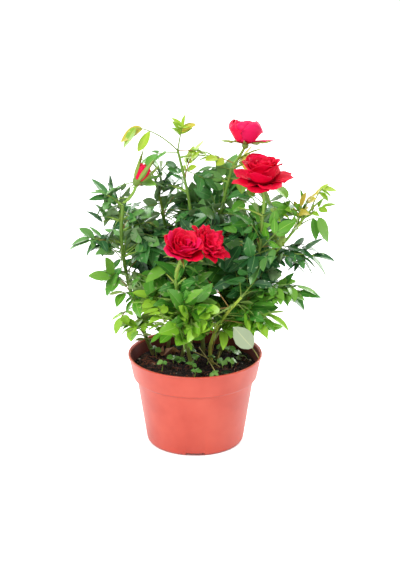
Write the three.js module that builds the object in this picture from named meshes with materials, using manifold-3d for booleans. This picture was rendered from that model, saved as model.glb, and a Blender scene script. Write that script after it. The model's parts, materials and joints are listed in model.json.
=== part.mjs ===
// A patio rose bush in its moulded plastic pot: canes that rise from the potting soil, the masses of
// foliage that hang on them, four open blooms and one bud. Millimetres, +Z up, +X to the plant's right
// as seen from its front, +Y towards its back. The origin is the middle of the pot's flat underside.
import * as THREE from "three";
import { mergeVertices } from "three/addons/utils/BufferGeometryUtils.js";
import Module from "manifold-3d";

const wasm = await Module();
wasm.setup();

// ---- Driving dimensions -------------------------------------------------------------------------

const POT_HEIGHT = 88.5; // rim to floor
const RIM_RADIUS = 65; // a 13 cm pot
const BASE_RADIUS = 47;
const WALL = 1.4;
const COLLAR_HEIGHT = 22.5; // the wider band under the rim
const COLLAR_STEP = 3.3; // how far the collar stands out from the body
const BASE_ROUNDING = 3.5;
const POT_SIDES = 36;

const NOTCHES = 3; // drainage notches round the foot, one of them at the front
const NOTCH_WIDTH = 18;
const NOTCH_HEIGHT = 2.8;
const NOTCH_INNER_RADIUS = 33;
const DRAIN_RADIUS = 3.2;
const DRAIN_SIDES = 12;

const SOIL_LEVEL = 75.5; // 13 mm below the rim
const SOIL_ROUGHNESS = 1.6;
const GAP = 0.35; // left between neighbouring solids
const FOOT_SINK = 2.5; // how far a cane's cut foot stands in the soil

const LIMB_SIDES = 6;
const LIMB_STEPS = 5;
const FLARE = 0.55; // extra thickness at a cane's foot
const FLARE_HEIGHT = 7;

const COLOURS = {
  pot: 0xe8705c,
  soil: 0x2b1d17,
  cane: 0x7d9a3c,
  stalk: 0x93b24a,
  darkLeaf: 0x2f6140,
  midLeaf: 0x3f7d3a,
  brightLeaf: 0x5f9e2f,
  youngLeaf: 0x9db53a,
  petal: 0xd40b2e,
  bud: 0x7f9a3a,
};

// ---- Solids -------------------------------------------------------------------------------------

// A closed three.js geometry as a manifold-3d solid.
function solidOf(geometry) {
  const bare = geometry.index ? geometry.toNonIndexed() : geometry.clone();
  bare.deleteAttribute("normal");
  bare.deleteAttribute("uv");
  const merged = mergeVertices(bare, 1e-3);
  return new wasm.Manifold(
    new wasm.Mesh({
      numProp: 3,
      vertProperties: new Float32Array(merged.attributes.position.array),
      triVerts: new Uint32Array(merged.index.array),
    }),
  );
}

// The largest of a solid's separate bodies, so that a cut leaves no slivers behind.
function mainBody(solid) {
  return solid.decompose().reduce((a, b) => (b.volume() > a.volume() ? b : a));
}

function meshOf(name, solid, color, roughness = 0.7) {
  const { numProp, numVert, vertProperties, triVerts } = solid.getMesh();
  const position = new Float32Array(numVert * 3);
  for (let i = 0; i < numVert; i++) {
    position.set(vertProperties.subarray(i * numProp, i * numProp + 3), i * 3);
  }
  const geometry = new THREE.BufferGeometry()
    .setAttribute("position", new THREE.BufferAttribute(position, 3))
    .setIndex(new THREE.BufferAttribute(triVerts, 1));
  const material = new THREE.MeshStandardMaterial({
    color,
    roughness,
    metalness: 0,
    flatShading: true,
  });
  const mesh = new THREE.Mesh(geometry, material);
  mesh.name = name;
  return mesh;
}

// A profile of [radius, height] points turned about the Z axis.
function turned(profile, sides) {
  const points = profile.map(([radius, height]) => new THREE.Vector2(radius, height));
  return solidOf(new THREE.LatheGeometry(points, sides).rotateX(Math.PI / 2));
}

// The unit vector at an azimuth round Z and a pitch above the horizon, both in degrees.
function heading(azimuth, pitch = 0) {
  const a = THREE.MathUtils.degToRad(azimuth);
  const p = THREE.MathUtils.degToRad(pitch);
  return new THREE.Vector3(
    Math.cos(a) * Math.cos(p),
    Math.sin(a) * Math.cos(p),
    Math.sin(p),
  );
}

// ---- The pot ------------------------------------------------------------------------------------

const COLLAR_FOOT = POT_HEIGHT - COLLAR_HEIGHT;
const COLLAR_FOOT_RADIUS = 60;
const BODY_TOP_RADIUS = COLLAR_FOOT_RADIUS - COLLAR_STEP;
const LIP = 1.6; // the rolled edge's height

// The pot's outer outline from the underside to the lip, set in by the wall for its inner face.
function potOutline(inset) {
  const corner = (degrees) => {
    const a = THREE.MathUtils.degToRad(degrees);
    const r = BASE_ROUNDING - Math.min(inset, BASE_ROUNDING - 0.5);
    return [
      BASE_RADIUS - inset - r + r * Math.cos(a),
      inset + r - r * Math.sin(a),
    ];
  };
  return [
    [0, inset],
    ...[90, 45, 0].map(corner),
    [BODY_TOP_RADIUS - inset, COLLAR_FOOT - 1.5 + inset],
    [COLLAR_FOOT_RADIUS - inset, COLLAR_FOOT + inset],
    [RIM_RADIUS - 0.9 - inset, POT_HEIGHT - LIP],
  ];
}

// A wedge under the pot's foot, grown by a margin, with sides that slope in towards its roof.
function notch(azimuth, margin) {
  const half = NOTCH_WIDTH / 2 + margin;
  const top = NOTCH_HEIGHT + margin;
  const slope = 1.4;
  const shape = new THREE.Shape([
    new THREE.Vector2(-half, -1),
    new THREE.Vector2(half, -1),
    new THREE.Vector2(half - slope, top),
    new THREE.Vector2(slope - half, top),
  ]);
  const inner = NOTCH_INNER_RADIUS - margin;
  const depth = BASE_RADIUS + 5 - inner;
  const wedge = new THREE.ExtrudeGeometry(shape, { depth, bevelEnabled: false })
    .rotateX(Math.PI / 2)
    .translate(0, depth + inner, 0)
    .rotateZ(THREE.MathUtils.degToRad(azimuth - 90));
  return solidOf(wedge);
}

const notchAzimuths = Array.from({ length: NOTCHES }, (_, i) => -90 + (360 / NOTCHES) * i);

function drainHole(azimuth) {
  const middle = heading(azimuth).multiplyScalar((NOTCH_INNER_RADIUS + BASE_RADIUS) / 2 - 1.5);
  const hole = new THREE.CylinderGeometry(DRAIN_RADIUS, DRAIN_RADIUS, 12, DRAIN_SIDES)
    .rotateX(Math.PI / 2)
    .translate(middle.x, middle.y, NOTCH_HEIGHT);
  return solidOf(hole);
}

function makePot() {
  const lip = [
    [RIM_RADIUS, POT_HEIGHT - LIP],
    [RIM_RADIUS, POT_HEIGHT - 0.5],
    [RIM_RADIUS - 0.6, POT_HEIGHT],
    [0, POT_HEIGHT],
  ];
  const inside = [
    [RIM_RADIUS - 0.9 - WALL, POT_HEIGHT + 1],
    [0, POT_HEIGHT + 1],
  ];
  let outer = turned([...potOutline(0), ...lip], POT_SIDES);
  let inner = turned([...potOutline(WALL), ...inside], POT_SIDES);
  for (const azimuth of notchAzimuths) {
    outer = outer.subtract(notch(azimuth, 0));
    inner = inner.subtract(notch(azimuth, WALL));
  }
  let pot = outer.subtract(inner);
  for (const azimuth of notchAzimuths) pot = pot.subtract(drainHole(azimuth));
  return pot;
}

// ---- Limbs --------------------------------------------------------------------------------------

// Places are [right, back, up], with up measured from the soil. Canes stand in the soil, so foot is
// only [right, back]; each other limb starts from a point of its own. A limb ends at its tip and is
// pushed sideways by bow at its middle. thick is its diameter, foot and tip.
const LIMBS = {
  cane_left: { foot: [-41, 30], tip: [-67.5, -7, 163], bow: [-13, -3, 4], thick: [4.6, 3.2] },
  cane_inner_left: { foot: [-28, 40], tip: [-37.5, 20, 180], bow: [8, 4, 0], thick: [4.2, 2.6] },
  cane_tall: { foot: [-14, 18], tip: [-16, 6, 212.5], bow: [14, 2, 0], thick: [4.4, 2.4] },
  cane_middle: { foot: [8, 26], tip: [34.5, 10, 195], bow: [-4, 5, 0], thick: [4.6, 2.8] },
  cane_right: { foot: [20, 14], tip: [63, -20, 156.5], bow: [11, -6, -6], thick: [5, 3] },
  cane_front: { foot: [-3, -6], tip: [-18, -42, 101.5], bow: [-3, -5, 0], thick: [4.4, 2.8] },
  cane_young: { foot: [17, 3], tip: [43, -43, 84.5], bow: [-7, 0, 3], thick: [4.2, 2.6] },
  cane_back: { foot: [-6, 44], tip: [2, 72, 139], bow: [-3, -6, 0], thick: [4.6, 3] },
  cane_back_right: { foot: [30, 36], tip: [63, 60, 127], bow: [-4, 0, 4], thick: [4.4, 2.8] },
  bough_right: { from: [69.5, -9, 110.5], tip: [107.5, -13, 160], bow: [-3, 0, -5], thick: [3, 2] },
  stalk_bud: { from: [-66.5, -8, 166], tip: [-53.5, -10, 188], bow: [2, 0, -2], thick: [2.6, 3] },
  stalk_top_bloom: { from: [35.5, 10, 198], tip: [46.5, -2, 219], bow: [1, 0, 0], thick: [2.4, 2.8] },
  stalk_right_bloom: { from: [63, -21, 159.5], tip: [62, -27, 183.5], bow: [1, 0, 0], thick: [2.6, 3] },
  stalk_front_bloom: { from: [-18, -43, 104.5], tip: [-12, -51, 126], bow: [-1, -1, 0], thick: [2.6, 3] },
};

function overSoil([right, back, up]) {
  return new THREE.Vector3(right, back, SOIL_LEVEL + up);
}

// A limb's centreline. A cane leaves the soil upright, so that its foot is a level cut.
function centreline({ foot, from, tip, bow }) {
  const start = overSoil(from ?? [...foot, -FOOT_SINK]);
  const end = overSoil(tip);
  const push = new THREE.Vector3(...bow).multiplyScalar(4 / 3);
  const low = start.clone().lerp(end, foot ? 0.28 : 1 / 3);
  if (foot) low.set(start.x, start.y, low.z);
  const high = start.clone().lerp(end, 2 / 3);
  low.add(foot ? push.clone().setZ(0) : push);
  return new THREE.CubicBezierCurve3(start, low, high.add(push), end);
}

// One tapering limb: a closed cylinder whose rings are carried along the centreline. extra widens it.
function limbSolid(limb, extra = 0) {
  const curve = centreline(limb);
  const length = curve.getLength();
  const [wide, narrow] = limb.thick.map((diameter) => diameter / 2);
  const geometry = new THREE.CylinderGeometry(1, 1, 1, LIMB_SIDES, LIMB_STEPS);
  const position = geometry.attributes.position;
  const frames = curve.computeFrenetFrames(LIMB_STEPS);
  const stretch = extra / length; // how far each end is pushed out
  for (let i = 0; i < position.count; i++) {
    const ring = Math.round((position.getY(i) + 0.5) * LIMB_STEPS);
    const share = ring / LIMB_STEPS;
    const flare = limb.foot ? FLARE * Math.exp((-share * length) / FLARE_HEIGHT) : 0;
    const radius = THREE.MathUtils.lerp(wide, narrow, share) * (1 + flare) + extra;
    const centre = curve.getPoint(share);
    const beyond = share === 0 ? -1 : share === 1 ? 1 : 0;
    centre.addScaledVector(curve.getTangent(share), beyond * stretch * length);
    const across = frames.normals[ring].clone().multiplyScalar(position.getX(i) * radius);
    const over = frames.binormals[ring].clone().multiplyScalar(-position.getZ(i) * radius);
    const point = centre.add(across).add(over);
    if (limb.foot && ring === 0) point.z = SOIL_LEVEL - FOOT_SINK - extra;
    position.setXYZ(i, point.x, point.y, point.z);
  }
  const made = solidOf(geometry);
  return made.volume() < 0 ? solidOf(flipped(geometry)) : made;
}

// The same geometry with each face turned round.
function flipped(geometry) {
  const copy = geometry.clone();
  const index = copy.index.array;
  for (let i = 0; i < index.length; i += 3) [index[i + 1], index[i + 2]] = [index[i + 2], index[i + 1]];
  return copy;
}

// ---- Foliage ------------------------------------------------------------------------------------

// Each mass has its middle at [right, back, up from the soil], and half its length along aim, its
// breadth and its depth. aim is [azimuth, pitch] in degrees, from the mass's root to its tip.
const MASSES = {
  dark: {
    leaves_centre: { at: [7.5, 14, 140.5], aim: [90, 80], half: [37, 36, 34] },
    leaves_centre_left: { at: [-37.5, -4, 132], aim: [180, 60], half: [30, 27, 26] },
    leaves_right_centre: { at: [55, -6, 122.5], aim: [0, 80], half: [38, 31, 31] },
    leaves_upper_left: { at: [-18, 20, 174], aim: [170, 5], half: [29, 18, 15] },
    leaves_upper_middle: { at: [15.5, 26, 186], aim: [60, 60], half: [22, 19, 18] },
    leaves_upper_right: { at: [41.5, 28, 184], aim: [60, 70], half: [23, 20, 16] },
    leaves_inner_side: { at: [-27, 22, 194.5], aim: [120, 60], half: [10, 11, 9] },
    leaves_left_upper: { at: [-79, 1, 173], aim: [180, 15], half: [25, 14, 11] },
    leaves_left_inner: { at: [-49.5, 0, 150.5], aim: [10, 5], half: [19, 15, 12] },
    leaves_left_tuft: { at: [-85, -4, 150.5], aim: [180, 40], half: [13, 9, 8] },
    leaves_left_outer: { at: [-94, -12, 129], aim: [184, -2], half: [27, 13, 11] },
    leaves_right_middle: { at: [102, -3, 112.5], aim: [0, 3], half: [27, 17, 15] },
    leaves_back: { at: [3.5, 62, 146.5], aim: [90, 70], half: [36, 38, 28] },
    leaves_back_left: { at: [-49.5, 54, 113], aim: [135, 50], half: [36, 32, 28] },
    leaves_back_right: { at: [55, 56, 117], aim: [45, 50], half: [36, 32, 28] },
    leaves_back_outer: { at: [7.5, 96, 119], aim: [85, 10], half: [22, 20, 15] },
    leaves_back_left_outer: { at: [-75, 80, 128], aim: [132, 15], half: [24, 16, 13] },
    leaves_back_right_outer: { at: [82.5, 78, 130], aim: [42, 15], half: [24, 16, 13] },
  },
  mid: {
    leaves_centre_low: { at: [-14, -30, 102], aim: [200, 20], half: [33, 24, 23] },
    leaves_right_upper: { at: [53, -20, 164.5], aim: [0, 20], half: [24, 18, 15] },
    leaves_right_leaf: { at: [113, -15, 144], aim: [0, -55], half: [15, 11, 8] },
    leaves_right_low: { at: [90.5, -14, 79.5], aim: [-5, 3], half: [31, 19, 14] },
    leaves_left_low: { at: [-75, -18, 96.5], aim: [188, 8], half: [24, 15, 13] },
    leaves_back_low: { at: [0, 70, 71.5], aim: [90, 20], half: [30, 42, 25] },
    leaves_back_left_low: { at: [-49.5, 50, 61], aim: [140, 10], half: [26, 25, 19] },
    leaves_back_right_low: { at: [59, 42, 62.5], aim: [35, 10], half: [27, 25, 19] },
  },
  bright: {
    leaves_left_lower: { at: [-49.5, -26, 75], aim: [200, 10], half: [25, 19, 15] },
    leaves_left_foot: { at: [-56, -8, 40], aim: [185, 0], half: [25, 17, 12] },
    leaves_front_left: { at: [-22, -46, 67.5], aim: [-110, 0], half: [28, 28, 22] },
    leaves_front_right: { at: [13.5, -40, 59], aim: [-85, 0], half: [25, 25, 21] },
    leaves_right_foot: { at: [62.5, -18, 52], aim: [-10, 4], half: [32, 21, 15] },
    leaves_right_shoulder: { at: [86.5, -8, 163], aim: [20, 50], half: [20, 17, 13] },
  },
  young: {
    leaves_tip_tall: { at: [-11, 4, 230], aim: [90, 85], half: [19, 17, 14] },
    leaves_young_left: { at: [-48.5, -2, 224.5], aim: [180, -25], half: [21, 11, 11] },
    leaves_tall_right: { at: [9.5, 10, 210.5], aim: [0, -35], half: [17, 12, 11] },
    leaves_inner_tip: { at: [-40.5, 17, 201], aim: [180, 10], half: [17, 12, 11] },
    leaves_young_top: { at: [57, 10, 207.5], aim: [20, 45], half: [13, 10, 9] },
    leaves_right_tip: { at: [116.5, -13, 172.5], aim: [0, 5], half: [15, 11, 12] },
  },
};

const LARGE_MASS = 37; // a mass with at least this half length has more facets
const UNEVENNESS = 0.1;
const TIP_TAPER = 0.22; // how much narrower a mass is at its tip than at its root

// A number from 0 to 1 that is fixed by a name.
function chance(name, turn) {
  let hash = 2166136261 ^ turn;
  for (const letter of name) hash = Math.imul(hash ^ letter.charCodeAt(0), 16777619);
  return ((hash >>> 8) % 10007) / 10007;
}

// Slow waves over a sphere of directions, a little different for every name.
function unevenness(name) {
  const waves = [2.1, 3.3, 4.7].map((pace, i) => ({
    pace,
    way: heading(360 * chance(name, 2 * i), 180 * chance(name, 2 * i + 1) - 90),
    phase: 2 * Math.PI * chance(name, 20 + i),
  }));
  return (direction) => {
    const swing = ({ pace, way, phase }) => Math.sin(2 * pace * direction.dot(way) + phase) / pace;
    return 1 + 2 * UNEVENNESS * waves.reduce((sum, wave) => sum + swing(wave), 0);
  };
}

// Carries local [along, sideways, over] coordinates to a place over the soil and an aim.
function placement(at, [azimuth, pitch]) {
  const along = heading(azimuth, pitch);
  const over = heading(azimuth, pitch + 90);
  const sideways = over.clone().cross(along);
  return new THREE.Matrix4().makeBasis(along, sideways, over).setPosition(overSoil(at));
}

// One closed uneven mass of foliage, with extra added all round.
function massSolid(name, { at, aim, half }, extra = 0) {
  const large = half[0] >= LARGE_MASS;
  const geometry = large
    ? new THREE.OctahedronGeometry(1, 3)
    : new THREE.IcosahedronGeometry(1, 1);
  const uneven = unevenness(name);
  const position = geometry.attributes.position;
  const direction = new THREE.Vector3();
  for (let i = 0; i < position.count; i++) {
    direction.fromBufferAttribute(position, i).normalize();
    const swell = uneven(direction);
    const taper = 1 - TIP_TAPER * direction.x;
    position.setXYZ(
      i,
      direction.x * (half[0] * swell + extra),
      direction.y * (half[1] * swell * taper + extra),
      direction.z * (half[2] * swell * taper + extra),
    );
  }
  return solidOf(geometry.applyMatrix4(placement(at, aim)));
}

// ---- Blooms and bud -----------------------------------------------------------------------------

// at is the top of the stalk, and the bloom opens along aim. Its profile is in shares of its radius
// and its height, from the stalk to the crown of petals.
const OPEN_PROFILE = [
  [0, 0],
  [0.22, 0.02],
  [0.66, 0.1],
  [1, 0.26],
  [0.94, 0.42],
  [0.78, 0.62],
  [0.62, 0.86],
  [0.34, 1],
  [0, 0.98],
];
const CUPPED_PROFILE = [
  [0, 0],
  [0.3, 0.02],
  [0.74, 0.22],
  [0.97, 0.5],
  [1, 0.76],
  [0.72, 0.98],
  [0.36, 0.94],
  [0, 0.9],
];
const BUD_PROFILE = [
  [0, 0],
  [0.5, 0.02],
  [0.88, 0.16],
  [1, 0.42],
  [0.78, 0.74],
  [0.3, 0.97],
  [0, 1],
];
const BLOOMS = {
  bloom_top: { at: [46.5, -2, 220], aim: [-80, 84], radius: 14.5, height: 25, profile: CUPPED_PROFILE },
  bloom_right: { at: [62, -27, 184.5], aim: [-90, 76], radius: 27.5, height: 34, profile: OPEN_PROFILE },
  bloom_front_left: { at: [-11, -51, 128], aim: [-86, 52], radius: 19, height: 27, profile: CUPPED_PROFILE },
  bloom_front_right: { at: [6.5, -43, 133.5], aim: [-35, 36], radius: 18, height: 25, profile: OPEN_PROFILE },
  bud_left: { at: [-53, -10, 189], aim: [0, 60], radius: 6, height: 25, profile: BUD_PROFILE },
};
const BLOOM_SIDES = 12;

function bloomSolid(name, { at, aim, radius, height, profile }, extra = 0) {
  const points = profile.map(([out, up]) => [
    out ? out * radius + extra : 0,
    up * height + (up > 0.5 ? extra : -extra),
  ]);
  const place = placement(at, aim).multiply(new THREE.Matrix4().makeRotationY(Math.PI / 2));
  const turns = points.map(([out, up]) => new THREE.Vector2(out, up));
  const geometry = new THREE.LatheGeometry(turns, BLOOM_SIDES).rotateX(Math.PI / 2);
  return solidOf(geometry.applyMatrix4(place));
}

// ---- The soil -----------------------------------------------------------------------------------

// A plug of potting soil that fills the pot to its level and lies unevenly on top.
function makeSoil() {
  const inset = WALL + GAP;
  const outline = potOutline(inset);
  const [collarFoot, lip] = outline.slice(-2);
  const share = (SOIL_LEVEL - collarFoot[1]) / (lip[1] - collarFoot[1]);
  const edge = THREE.MathUtils.lerp(collarFoot[0], lip[0], share);
  const rings = [1, 0.74, 0.4, 0].map((out) => [edge * out, SOIL_LEVEL]);
  const points = [...outline.slice(0, -1), ...rings];
  const turns = points.map(([radius, height]) => new THREE.Vector2(radius, height));
  const geometry = new THREE.LatheGeometry(turns, POT_SIDES / 2).rotateX(Math.PI / 2);
  const position = geometry.attributes.position;
  for (let i = 0; i < position.count; i++) {
    if (position.getZ(i) < SOIL_LEVEL - 0.01) continue;
    const [x, y] = [position.getX(i), position.getY(i)];
    const lumps = Math.sin(0.16 * x + 0.4) * Math.cos(0.13 * y) + 0.6 * Math.sin(0.29 * y + 0.21 * x);
    const levelling = 1 - (Math.hypot(x, y) / edge) ** 6; // the soil meets the pot level
    position.setZ(i, SOIL_LEVEL + SOIL_ROUGHNESS * levelling * lumps);
  }
  let soil = solidOf(geometry);
  for (const azimuth of notchAzimuths) soil = soil.subtract(notch(azimuth, WALL + GAP));
  return soil;
}

// ---- The plant put together ---------------------------------------------------------------------

const bush = new THREE.Group();
bush.add(meshOf("pot", makePot(), COLOURS.pot, 0.45));

const canes = Object.entries(LIMBS);
let soil = makeSoil();
for (const [, limb] of canes) if (limb.foot) soil = soil.subtract(limbSolid(limb, GAP));
bush.add(meshOf("potting_soil", mainBody(soil), COLOURS.soil, 0.95));

for (const [name, limb] of canes) {
  bush.add(meshOf(name, limbSolid(limb), limb.foot ? COLOURS.cane : COLOURS.stalk, 0.6));
}

// Blooms come before foliage, and large masses before small ones: each solid is cut round the limbs
// and round everything that already stands where it would.
const standing = canes.map(([, limb]) => limbSolid(limb, GAP));
const cutRound = (solid) => mainBody(standing.reduce((rest, other) => rest.subtract(other), solid));

for (const [name, bloom] of Object.entries(BLOOMS)) {
  const colour = name.startsWith("bud") ? COLOURS.bud : COLOURS.petal;
  bush.add(meshOf(name, cutRound(bloomSolid(name, bloom)), colour, 0.55));
  standing.push(bloomSolid(name, bloom, GAP));
}

const masses = Object.entries(MASSES).flatMap(([tint, rows]) =>
  Object.entries(rows).map(([name, row]) => ({ name, row, tint })),
);
masses.sort((a, b) => b.row.half[0] - a.row.half[0]);
for (const { name, row, tint } of masses) {
  bush.add(meshOf(name, cutRound(massSolid(name, row)), COLOURS[`${tint}Leaf`], 0.5));
  standing.push(massSolid(name, row, GAP));
}

export default bush;
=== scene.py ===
"""A patio rose bush in its moulded plastic pot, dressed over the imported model's frame, in metres."""

import json
import math

import bpy
import numpy as np
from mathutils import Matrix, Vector


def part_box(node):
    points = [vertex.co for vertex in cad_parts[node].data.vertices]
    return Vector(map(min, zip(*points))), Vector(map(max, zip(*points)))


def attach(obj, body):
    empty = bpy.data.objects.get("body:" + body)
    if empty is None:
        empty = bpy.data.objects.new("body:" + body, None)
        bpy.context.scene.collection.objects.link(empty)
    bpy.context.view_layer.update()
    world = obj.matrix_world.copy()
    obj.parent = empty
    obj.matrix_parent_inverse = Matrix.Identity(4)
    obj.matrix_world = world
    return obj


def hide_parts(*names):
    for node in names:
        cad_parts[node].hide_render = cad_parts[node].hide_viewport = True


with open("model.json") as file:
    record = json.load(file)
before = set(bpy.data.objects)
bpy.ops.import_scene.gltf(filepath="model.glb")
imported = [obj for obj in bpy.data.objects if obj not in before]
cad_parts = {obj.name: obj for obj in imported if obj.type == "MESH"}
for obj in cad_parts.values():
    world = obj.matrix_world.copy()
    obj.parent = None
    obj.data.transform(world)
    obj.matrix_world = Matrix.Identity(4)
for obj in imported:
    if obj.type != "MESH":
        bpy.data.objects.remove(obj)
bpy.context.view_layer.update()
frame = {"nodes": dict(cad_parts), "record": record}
MM = 0.001


# ---- The pot --------------------------------------------------------------------------------------
# A round plant pot, injection moulded in terracotta-coloured plastic: a tapering body, a wider
# collar with a thin rolled lip, and drainage notches moulded into its foot.


def make_piece(name, points, face_sets, materials, tints=None, replaces=(), smooth=True):
    """Puts points (n, 3), in millimetres, and faces into one mesh that rides on the plant's body.

    face_sets is a list of arrays of corner numbers, one array for each number of corners. tints
    gives each face's material, in the same order.
    """
    mesh = bpy.data.meshes.new(name)
    mesh.vertices.add(len(points))
    mesh.vertices.foreach_set("co", (np.asarray(points, float) * MM).ravel())
    corners = np.concatenate([np.full(len(f), f.shape[1]) for f in face_sets])
    starts = np.concatenate([[0], np.cumsum(corners)[:-1]])
    mesh.loops.add(int(corners.sum()))
    numbers = np.concatenate([np.asarray(f).ravel() for f in face_sets])
    mesh.loops.foreach_set("vertex_index", numbers.astype(np.int32))
    mesh.polygons.add(len(corners))
    mesh.polygons.foreach_set("loop_start", starts.astype(np.int32))
    mesh.polygons.foreach_set("use_smooth", np.full(len(corners), smooth))
    if tints is not None:
        mesh.polygons.foreach_set("material_index", np.asarray(tints, np.int32))
    mesh.update(calc_edges=True)
    for material in materials:
        mesh.materials.append(material)
    piece = bpy.data.objects.new(name, mesh)
    bpy.context.scene.collection.objects.link(piece)
    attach(piece, "root")
    if replaces:
        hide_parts(*replaces)
    return piece


def grid_faces(rows, columns, closed=False):
    """Quads between neighbouring rows and columns of points numbered row by row.

    They face along (column direction) x (row direction). closed joins the last column to the first.
    """
    row = np.arange(rows - 1)[:, None]
    column = np.arange(columns if closed else columns - 1)[None, :]
    after = (column + 1) % columns
    first = row * columns
    quads = [first + column, first + after, first + columns + after, first + columns + column]
    return np.stack(quads, -1).reshape(-1, 4)


def unit(vectors):
    """Each vector divided by its own length."""
    return vectors / np.maximum(np.linalg.norm(vectors, axis=-1, keepdims=True), 1e-9)


def material_with(name, colour, roughness, **sockets):
    """A material whose Principled shader has these plain values."""
    material = bpy.data.materials.new(name)
    material.use_nodes = True
    shader = material.node_tree.nodes["Principled BSDF"]
    shader.inputs["Base Color"].default_value = (*linear(colour), 1)
    shader.inputs["Roughness"].default_value = roughness
    for socket, value in sockets.items():
        shader.inputs[socket.replace("_", " ")].default_value = value
    material.diffuse_color = (*linear(colour), 1)
    return material


def linear(colour):
    """An sRGB colour of 0 to 255 a channel as the linear values a shader wants."""
    share = np.asarray(colour, float) / 255
    low, high = share / 12.92, ((share + 0.055) / 1.055) ** 2.4
    return tuple(float(v) for v in np.where(share <= 0.04045, low, high))


def mottle_group():
    """Two sizes of noise on Object coordinates, as a mask about 0.5 and a height."""
    group = bpy.data.node_groups.new("mottle", "ShaderNodeTree")
    for way, words in {"INPUT": ("Patch Scale", "Grain Scale"), "OUTPUT": ("Mask", "Grain")}.items():
        for word in words:
            group.interface.new_socket(word, in_out=way, socket_type="NodeSocketFloat")
    nodes, links = group.nodes, group.links
    given = nodes.new("NodeGroupInput")
    result = nodes.new("NodeGroupOutput")
    place = nodes.new("ShaderNodeTexCoord")
    patch = nodes.new("ShaderNodeTexNoise")
    patch.inputs["Detail"].default_value = 3
    grain = nodes.new("ShaderNodeTexNoise")
    grain.inputs["Detail"].default_value = 2
    for noise, scale in ((patch, "Patch Scale"), (grain, "Grain Scale")):
        links.new(place.outputs["Object"], noise.inputs["Vector"])
        links.new(given.outputs[scale], noise.inputs["Scale"])
    links.new(patch.outputs["Fac"], result.inputs["Mask"])
    links.new(grain.outputs["Fac"], result.inputs["Grain"])
    return group


MOTTLE = mottle_group()


def mottled(name, colours, roughness, scales, bump=0.0, depth=0.1, steps=(0.35, 0.65), **sockets):
    """A material whose colour runs between two or more colours and whose roughness runs between
    two values by slow noise, with fine noise as its relief (depth in millimetres)."""
    material = material_with(name, colours[0], roughness[0], **sockets)
    nodes, links = material.node_tree.nodes, material.node_tree.links
    shader = nodes["Principled BSDF"]
    mottle = nodes.new("ShaderNodeGroup")
    mottle.node_tree = MOTTLE
    mottle.inputs["Patch Scale"].default_value = scales[0]
    mottle.inputs["Grain Scale"].default_value = scales[1]
    ramp = nodes.new("ShaderNodeValToRGB")
    places = np.linspace(steps[0], steps[1], len(colours))
    for i, (place, colour) in enumerate(zip(places, colours)):
        stop = ramp.color_ramp.elements[i] if i < 2 else ramp.color_ramp.elements.new(place)
        stop.position = place
        stop.color = (*linear(colour), 1)
    links.new(mottle.outputs["Mask"], ramp.inputs["Fac"])
    links.new(ramp.outputs["Color"], shader.inputs["Base Color"])
    spread = nodes.new("ShaderNodeMapRange")
    spread.inputs["From Min"].default_value, spread.inputs["From Max"].default_value = 0.3, 0.7
    spread.inputs["To Min"].default_value, spread.inputs["To Max"].default_value = roughness
    links.new(mottle.outputs["Grain"], spread.inputs["Value"])
    links.new(spread.outputs["Result"], shader.inputs["Roughness"])
    if bump:
        relief = nodes.new("ShaderNodeBump")
        relief.inputs["Strength"].default_value = bump
        relief.inputs["Distance"].default_value = depth * MM
        links.new(mottle.outputs["Grain"], relief.inputs["Height"])
        links.new(relief.outputs["Normal"], shader.inputs["Normal"])
    return material


def full_turn(count):
    """Even steps once round, in radians."""
    return np.linspace(0, 2 * np.pi, count, endpoint=False)


def box_mm(node):
    """The low and the high corner of a node's box in the frame, in millimetres."""
    return [np.array(corner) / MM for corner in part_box(node)]


RIM, _, POT_TOP = box_mm("pot")[1]
FOOT = RIM - 18
WALL = 1.4
COLLAR_FOOT = POT_TOP - 22.5
COLLAR_FOOT_RADIUS = 60.0
BODY_TOP_RADIUS = 56.7
NOTCH_ROOF = 2.8
NOTCH_HALF_TURN = math.asin(9 / FOOT)
NOTCH_AZIMUTHS = np.radians([-90, 30, 150])
NOTCH_DEPTH_RADIUS = 33.0


def rounded(corner_points, radii, steps=5):
    """A profile of corner points, each rounded by an arc of its own radius.

    Each arc starts and ends where it leaves the two sides, and is drawn as a quadratic curve on
    those two points and the corner.
    """
    points = np.asarray(corner_points, float)
    out = [points[:1]]
    share = np.linspace(0, 1, steps)[:, None]
    for before, corner, after, radius in zip(points, points[1:], points[2:], radii):
        inwards, onwards = unit(before - corner), unit(after - corner)
        a, b = corner + inwards * radius, corner + onwards * radius
        arc = (1 - share) ** 2 * a + 2 * share * (1 - share) * corner + share**2 * b
        out.append(arc if radius else corner[None])
    return np.vstack([*out, points[-1:]])


pot_profile = rounded(
    [
        (0.6, 0),
        (NOTCH_DEPTH_RADIUS - 0.2, 0),
        (NOTCH_DEPTH_RADIUS, 0),
        (FOOT, 0),
        (BODY_TOP_RADIUS, COLLAR_FOOT - 1.6),
        (COLLAR_FOOT_RADIUS, COLLAR_FOOT + 0.2),
        (RIM - 0.9, POT_TOP - 1.9),
        (RIM, POT_TOP - 1.5),
        (RIM, POT_TOP),
        (RIM - 2.3, POT_TOP),
        (RIM - 2.5, POT_TOP - 1.9),
        (COLLAR_FOOT_RADIUS - WALL, COLLAR_FOOT + 1.8),
        (BODY_TOP_RADIUS - WALL, COLLAR_FOOT - 0.2),
        (FOOT - WALL, WALL),
        (0.6, WALL),
    ],
    [0, 0, 3.5, 1.2, 0.9, 0.3, 0.4, 0.7, 0.8, 0.5, 1.0, 1.2, 2.1],
)
turns = full_turn(240)
edges = (NOTCH_AZIMUTHS[:, None] + NOTCH_HALF_TURN * np.array([-1.06, -1, 1, 1.06])).ravel()
turns = np.sort(np.concatenate([turns, edges % (2 * np.pi)]))
radius, height = pot_profile[:, 0][:, None], pot_profile[:, 1][:, None]
away = np.abs((turns[None] - NOTCH_AZIMUTHS[:, None] + np.pi) % (2 * np.pi) - np.pi).min(0)
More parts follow.
